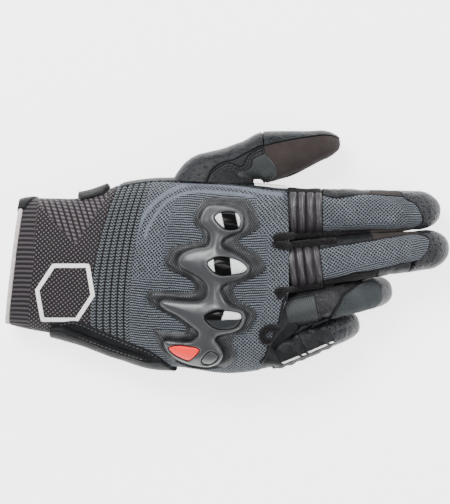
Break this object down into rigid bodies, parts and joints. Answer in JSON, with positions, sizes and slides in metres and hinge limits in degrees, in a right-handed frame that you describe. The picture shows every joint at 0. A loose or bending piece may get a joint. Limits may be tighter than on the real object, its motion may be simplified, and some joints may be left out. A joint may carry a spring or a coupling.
{
  "type": "motorcycle glove",
  "caption": "Right-hand short-cuff motorcycle glove with knitted back, leather palm and bridged outer fingers, and a moulded knuckle guard; lies palm down.",
  "frame": {"origin": "centre of the bounding box in X and Y, at the lowest point", "axes": "+X from the cuff towards the fingertips, +Y towards the thumb, +Z out of the back of the hand"},
  "size_m": [0.2454, 0.134, 0.0522],
  "materials": {
    "knit": "zigzag knit, matt",
    "cuff_knit": "two-colour knit, matt",
    "leather": "grained, satin",
    "suede": "brushed suede, matt",
    "stretch": "ribbed stretch knit, matt",
    "flex_rib": "padded ribs, satin",
    "guard": "moulded, satin with soft highlights",
    "film": "fine embossed texture",
    "mirror_cap": "polished",
    "accent": "red inlay",
    "pale_trim": "off-white binding",
    "label": "woven strip",
    "hook_loop": "hook-and-loop pile",
    "slider": "moulded, satin",
    "foam": "soft pad"
  },
  "bodies": {
    "hand": {"back_knit_panel": "knit", "outer_side_leather": "leather", "palm_leather_panel": "leather", "thumb_side_leather": "leather", "crotch_leather": "leather", "crotch_label": "label", "palm_heel_slider": "slider", "thumb_heel_pad": "foam", "palm_grip_overlay": "suede", "wrist_stretch_panel": "stretch", "wrist_palm_elastic": "stretch", "guard_base_film": "film", "knuckle_guard_shell": "guard", "knuckle_cap_index": "mirror_cap", "knuckle_cap_middle": "mirror_cap", "knuckle_cap_ring": "mirror_cap", "guard_accent_insert": "accent", "guard_tab_insert": "slider"},
    "cuff": {"cuff_knit_back": "cuff_knit", "cuff_knit_palm": "cuff_knit", "cuff_mouth_binding": "pale_trim", "cuff_corner_tab": "leather", "cuff_loop_patch": "hook_loop"},
    "strap": {"closure_strap": "leather", "strap_hook_patch": "hook_loop", "strap_pull_tab": "slider"},
    "index_proximal": {"index_flex_bars": "flex_rib", "index_back_knit": "knit", "index_outer_side": "leather", "index_inner_side": "suede", "index_palm": "leather"},
    "index_distal": {"index_distal_wrap": "suede", "index_tip_cap": "leather"},
    "middle_proximal": {"middle_flex_bars": "flex_rib", "middle_back_knit": "knit", "middle_outer_side": "leather", "middle_inner_side": "suede", "middle_palm": "leather"},
    "middle_distal": {"middle_distal_wrap": "suede", "middle_tip_cap": "leather"},
    "outer_fingers": {"ring_back_leather": "leather", "ring_palm_wrap": "leather", "ring_ridged_patch": "flex_rib", "ring_knuckle_pad": "suede", "pinky_back_leather": "leather", "pinky_palm_wrap": "leather"},
    "ring_tip": {"ring_tip_band": "suede", "ring_tip_cap": "leather"},
    "pinky_tip": {"pinky_tip_band": "suede", "pinky_tip_cap": "leather"},
    "thumb": {"thumb_outer_leather": "leather", "thumb_ridged_panel": "flex_rib", "thumb_crotch_gusset": "suede", "thumb_palm_leather": "leather"},
    "thumb_tip": {"thumb_tip_strip": "leather", "thumb_tip_suede": "suede", "thumb_tip_palm": "leather", "thumb_tip_cap": "leather"}
  },
  "joints": [
    {"name": "wrist_flex", "type": "hinge", "parent": "hand", "child": "cuff", "pos_m": [-0.0625, -0.0106, 0.019], "axis": [0.148, 0.989, 0], "range_deg": [-25, 25], "stiffness_Nm_per_rad": 0.3, "deforming": ["wrist_stretch_panel", "wrist_palm_elastic"]},
    {"name": "strap_open", "type": "hinge", "parent": "cuff", "child": "strap", "pos_m": [-0.0861, -0.0519, 0.0174], "axis": [-0.9684, 0.2496, 0], "range_deg": [0, 120]},
    {"name": "index_knuckle", "type": "hinge", "parent": "hand", "child": "index_proximal", "pos_m": [0.03489, 0.02171, 0.01809], "axis": [-0.0122, 0.9999, 0], "range_deg": [0, 40], "stiffness_Nm_per_rad": 0.3, "deforming": ["index_flex_bars"]},
    {"name": "index_middle_joint", "type": "hinge", "parent": "index_proximal", "child": "index_distal", "pos_m": [0.07452, 0.02219, 0.01907], "axis": [-0.0122, 0.9999, 0], "range_deg": [0, 50], "stiffness_Nm_per_rad": 0.3, "deforming": ["index_back_knit"]},
    {"name": "middle_knuckle", "type": "hinge", "parent": "hand", "child": "middle_proximal", "pos_m": [0.03435, -0.00877, 0.01889], "axis": [-0.1253, 0.9921, 0], "range_deg": [0, 40], "stiffness_Nm_per_rad": 0.3, "deforming": ["middle_flex_bars"]},
    {"name": "middle_middle_joint", "type": "hinge", "parent": "middle_proximal", "child": "middle_distal", "pos_m": [0.07647, -0.00345, 0.0199], "axis": [-0.1253, 0.9921, 0], "range_deg": [0, 50], "stiffness_Nm_per_rad": 0.3, "deforming": ["middle_back_knit"]},
    {"name": "outer_knuckle", "type": "hinge", "parent": "hand", "child": "outer_fingers", "pos_m": [0.02716, -0.04475, 0.01712], "axis": [0.2748, 0.9613, -0.02], "range_deg": [0, 35], "stiffness_Nm_per_rad": 0.3},
    {"name": "ring_middle_joint", "type": "hinge", "parent": "outer_fingers", "child": "ring_tip", "pos_m": [0.06107, -0.02757, 0.01834], "axis": [-0.165, 0.9863, 0], "range_deg": [0, 40], "stiffness_Nm_per_rad": 0.3},
    {"name": "pinky_middle_joint", "type": "hinge", "parent": "outer_fingers", "child": "pinky_tip", "pos_m": [0.04828, -0.04865, 0.01644], "axis": [-0.3156, 0.9489, 0], "range_deg": [0, 40], "stiffness_Nm_per_rad": 0.3},
    {"name": "thumb_base", "type": "hinge", "parent": "hand", "child": "thumb", "pos_m": [-0.0084, 0.0375, 0.0094], "axis": [-1, 0, 0], "range_deg": [0, 25], "stiffness_Nm_per_rad": 0.3},
    {"name": "thumb_tip_joint", "type": "hinge", "parent": "thumb", "child": "thumb_tip", "pos_m": [0.021, 0.0429, 0.0072], "axis": [-0.0493, 0.7054, -0.7071], "range_deg": [0, 28], "stiffness_Nm_per_rad": 0.3}
  ]
}
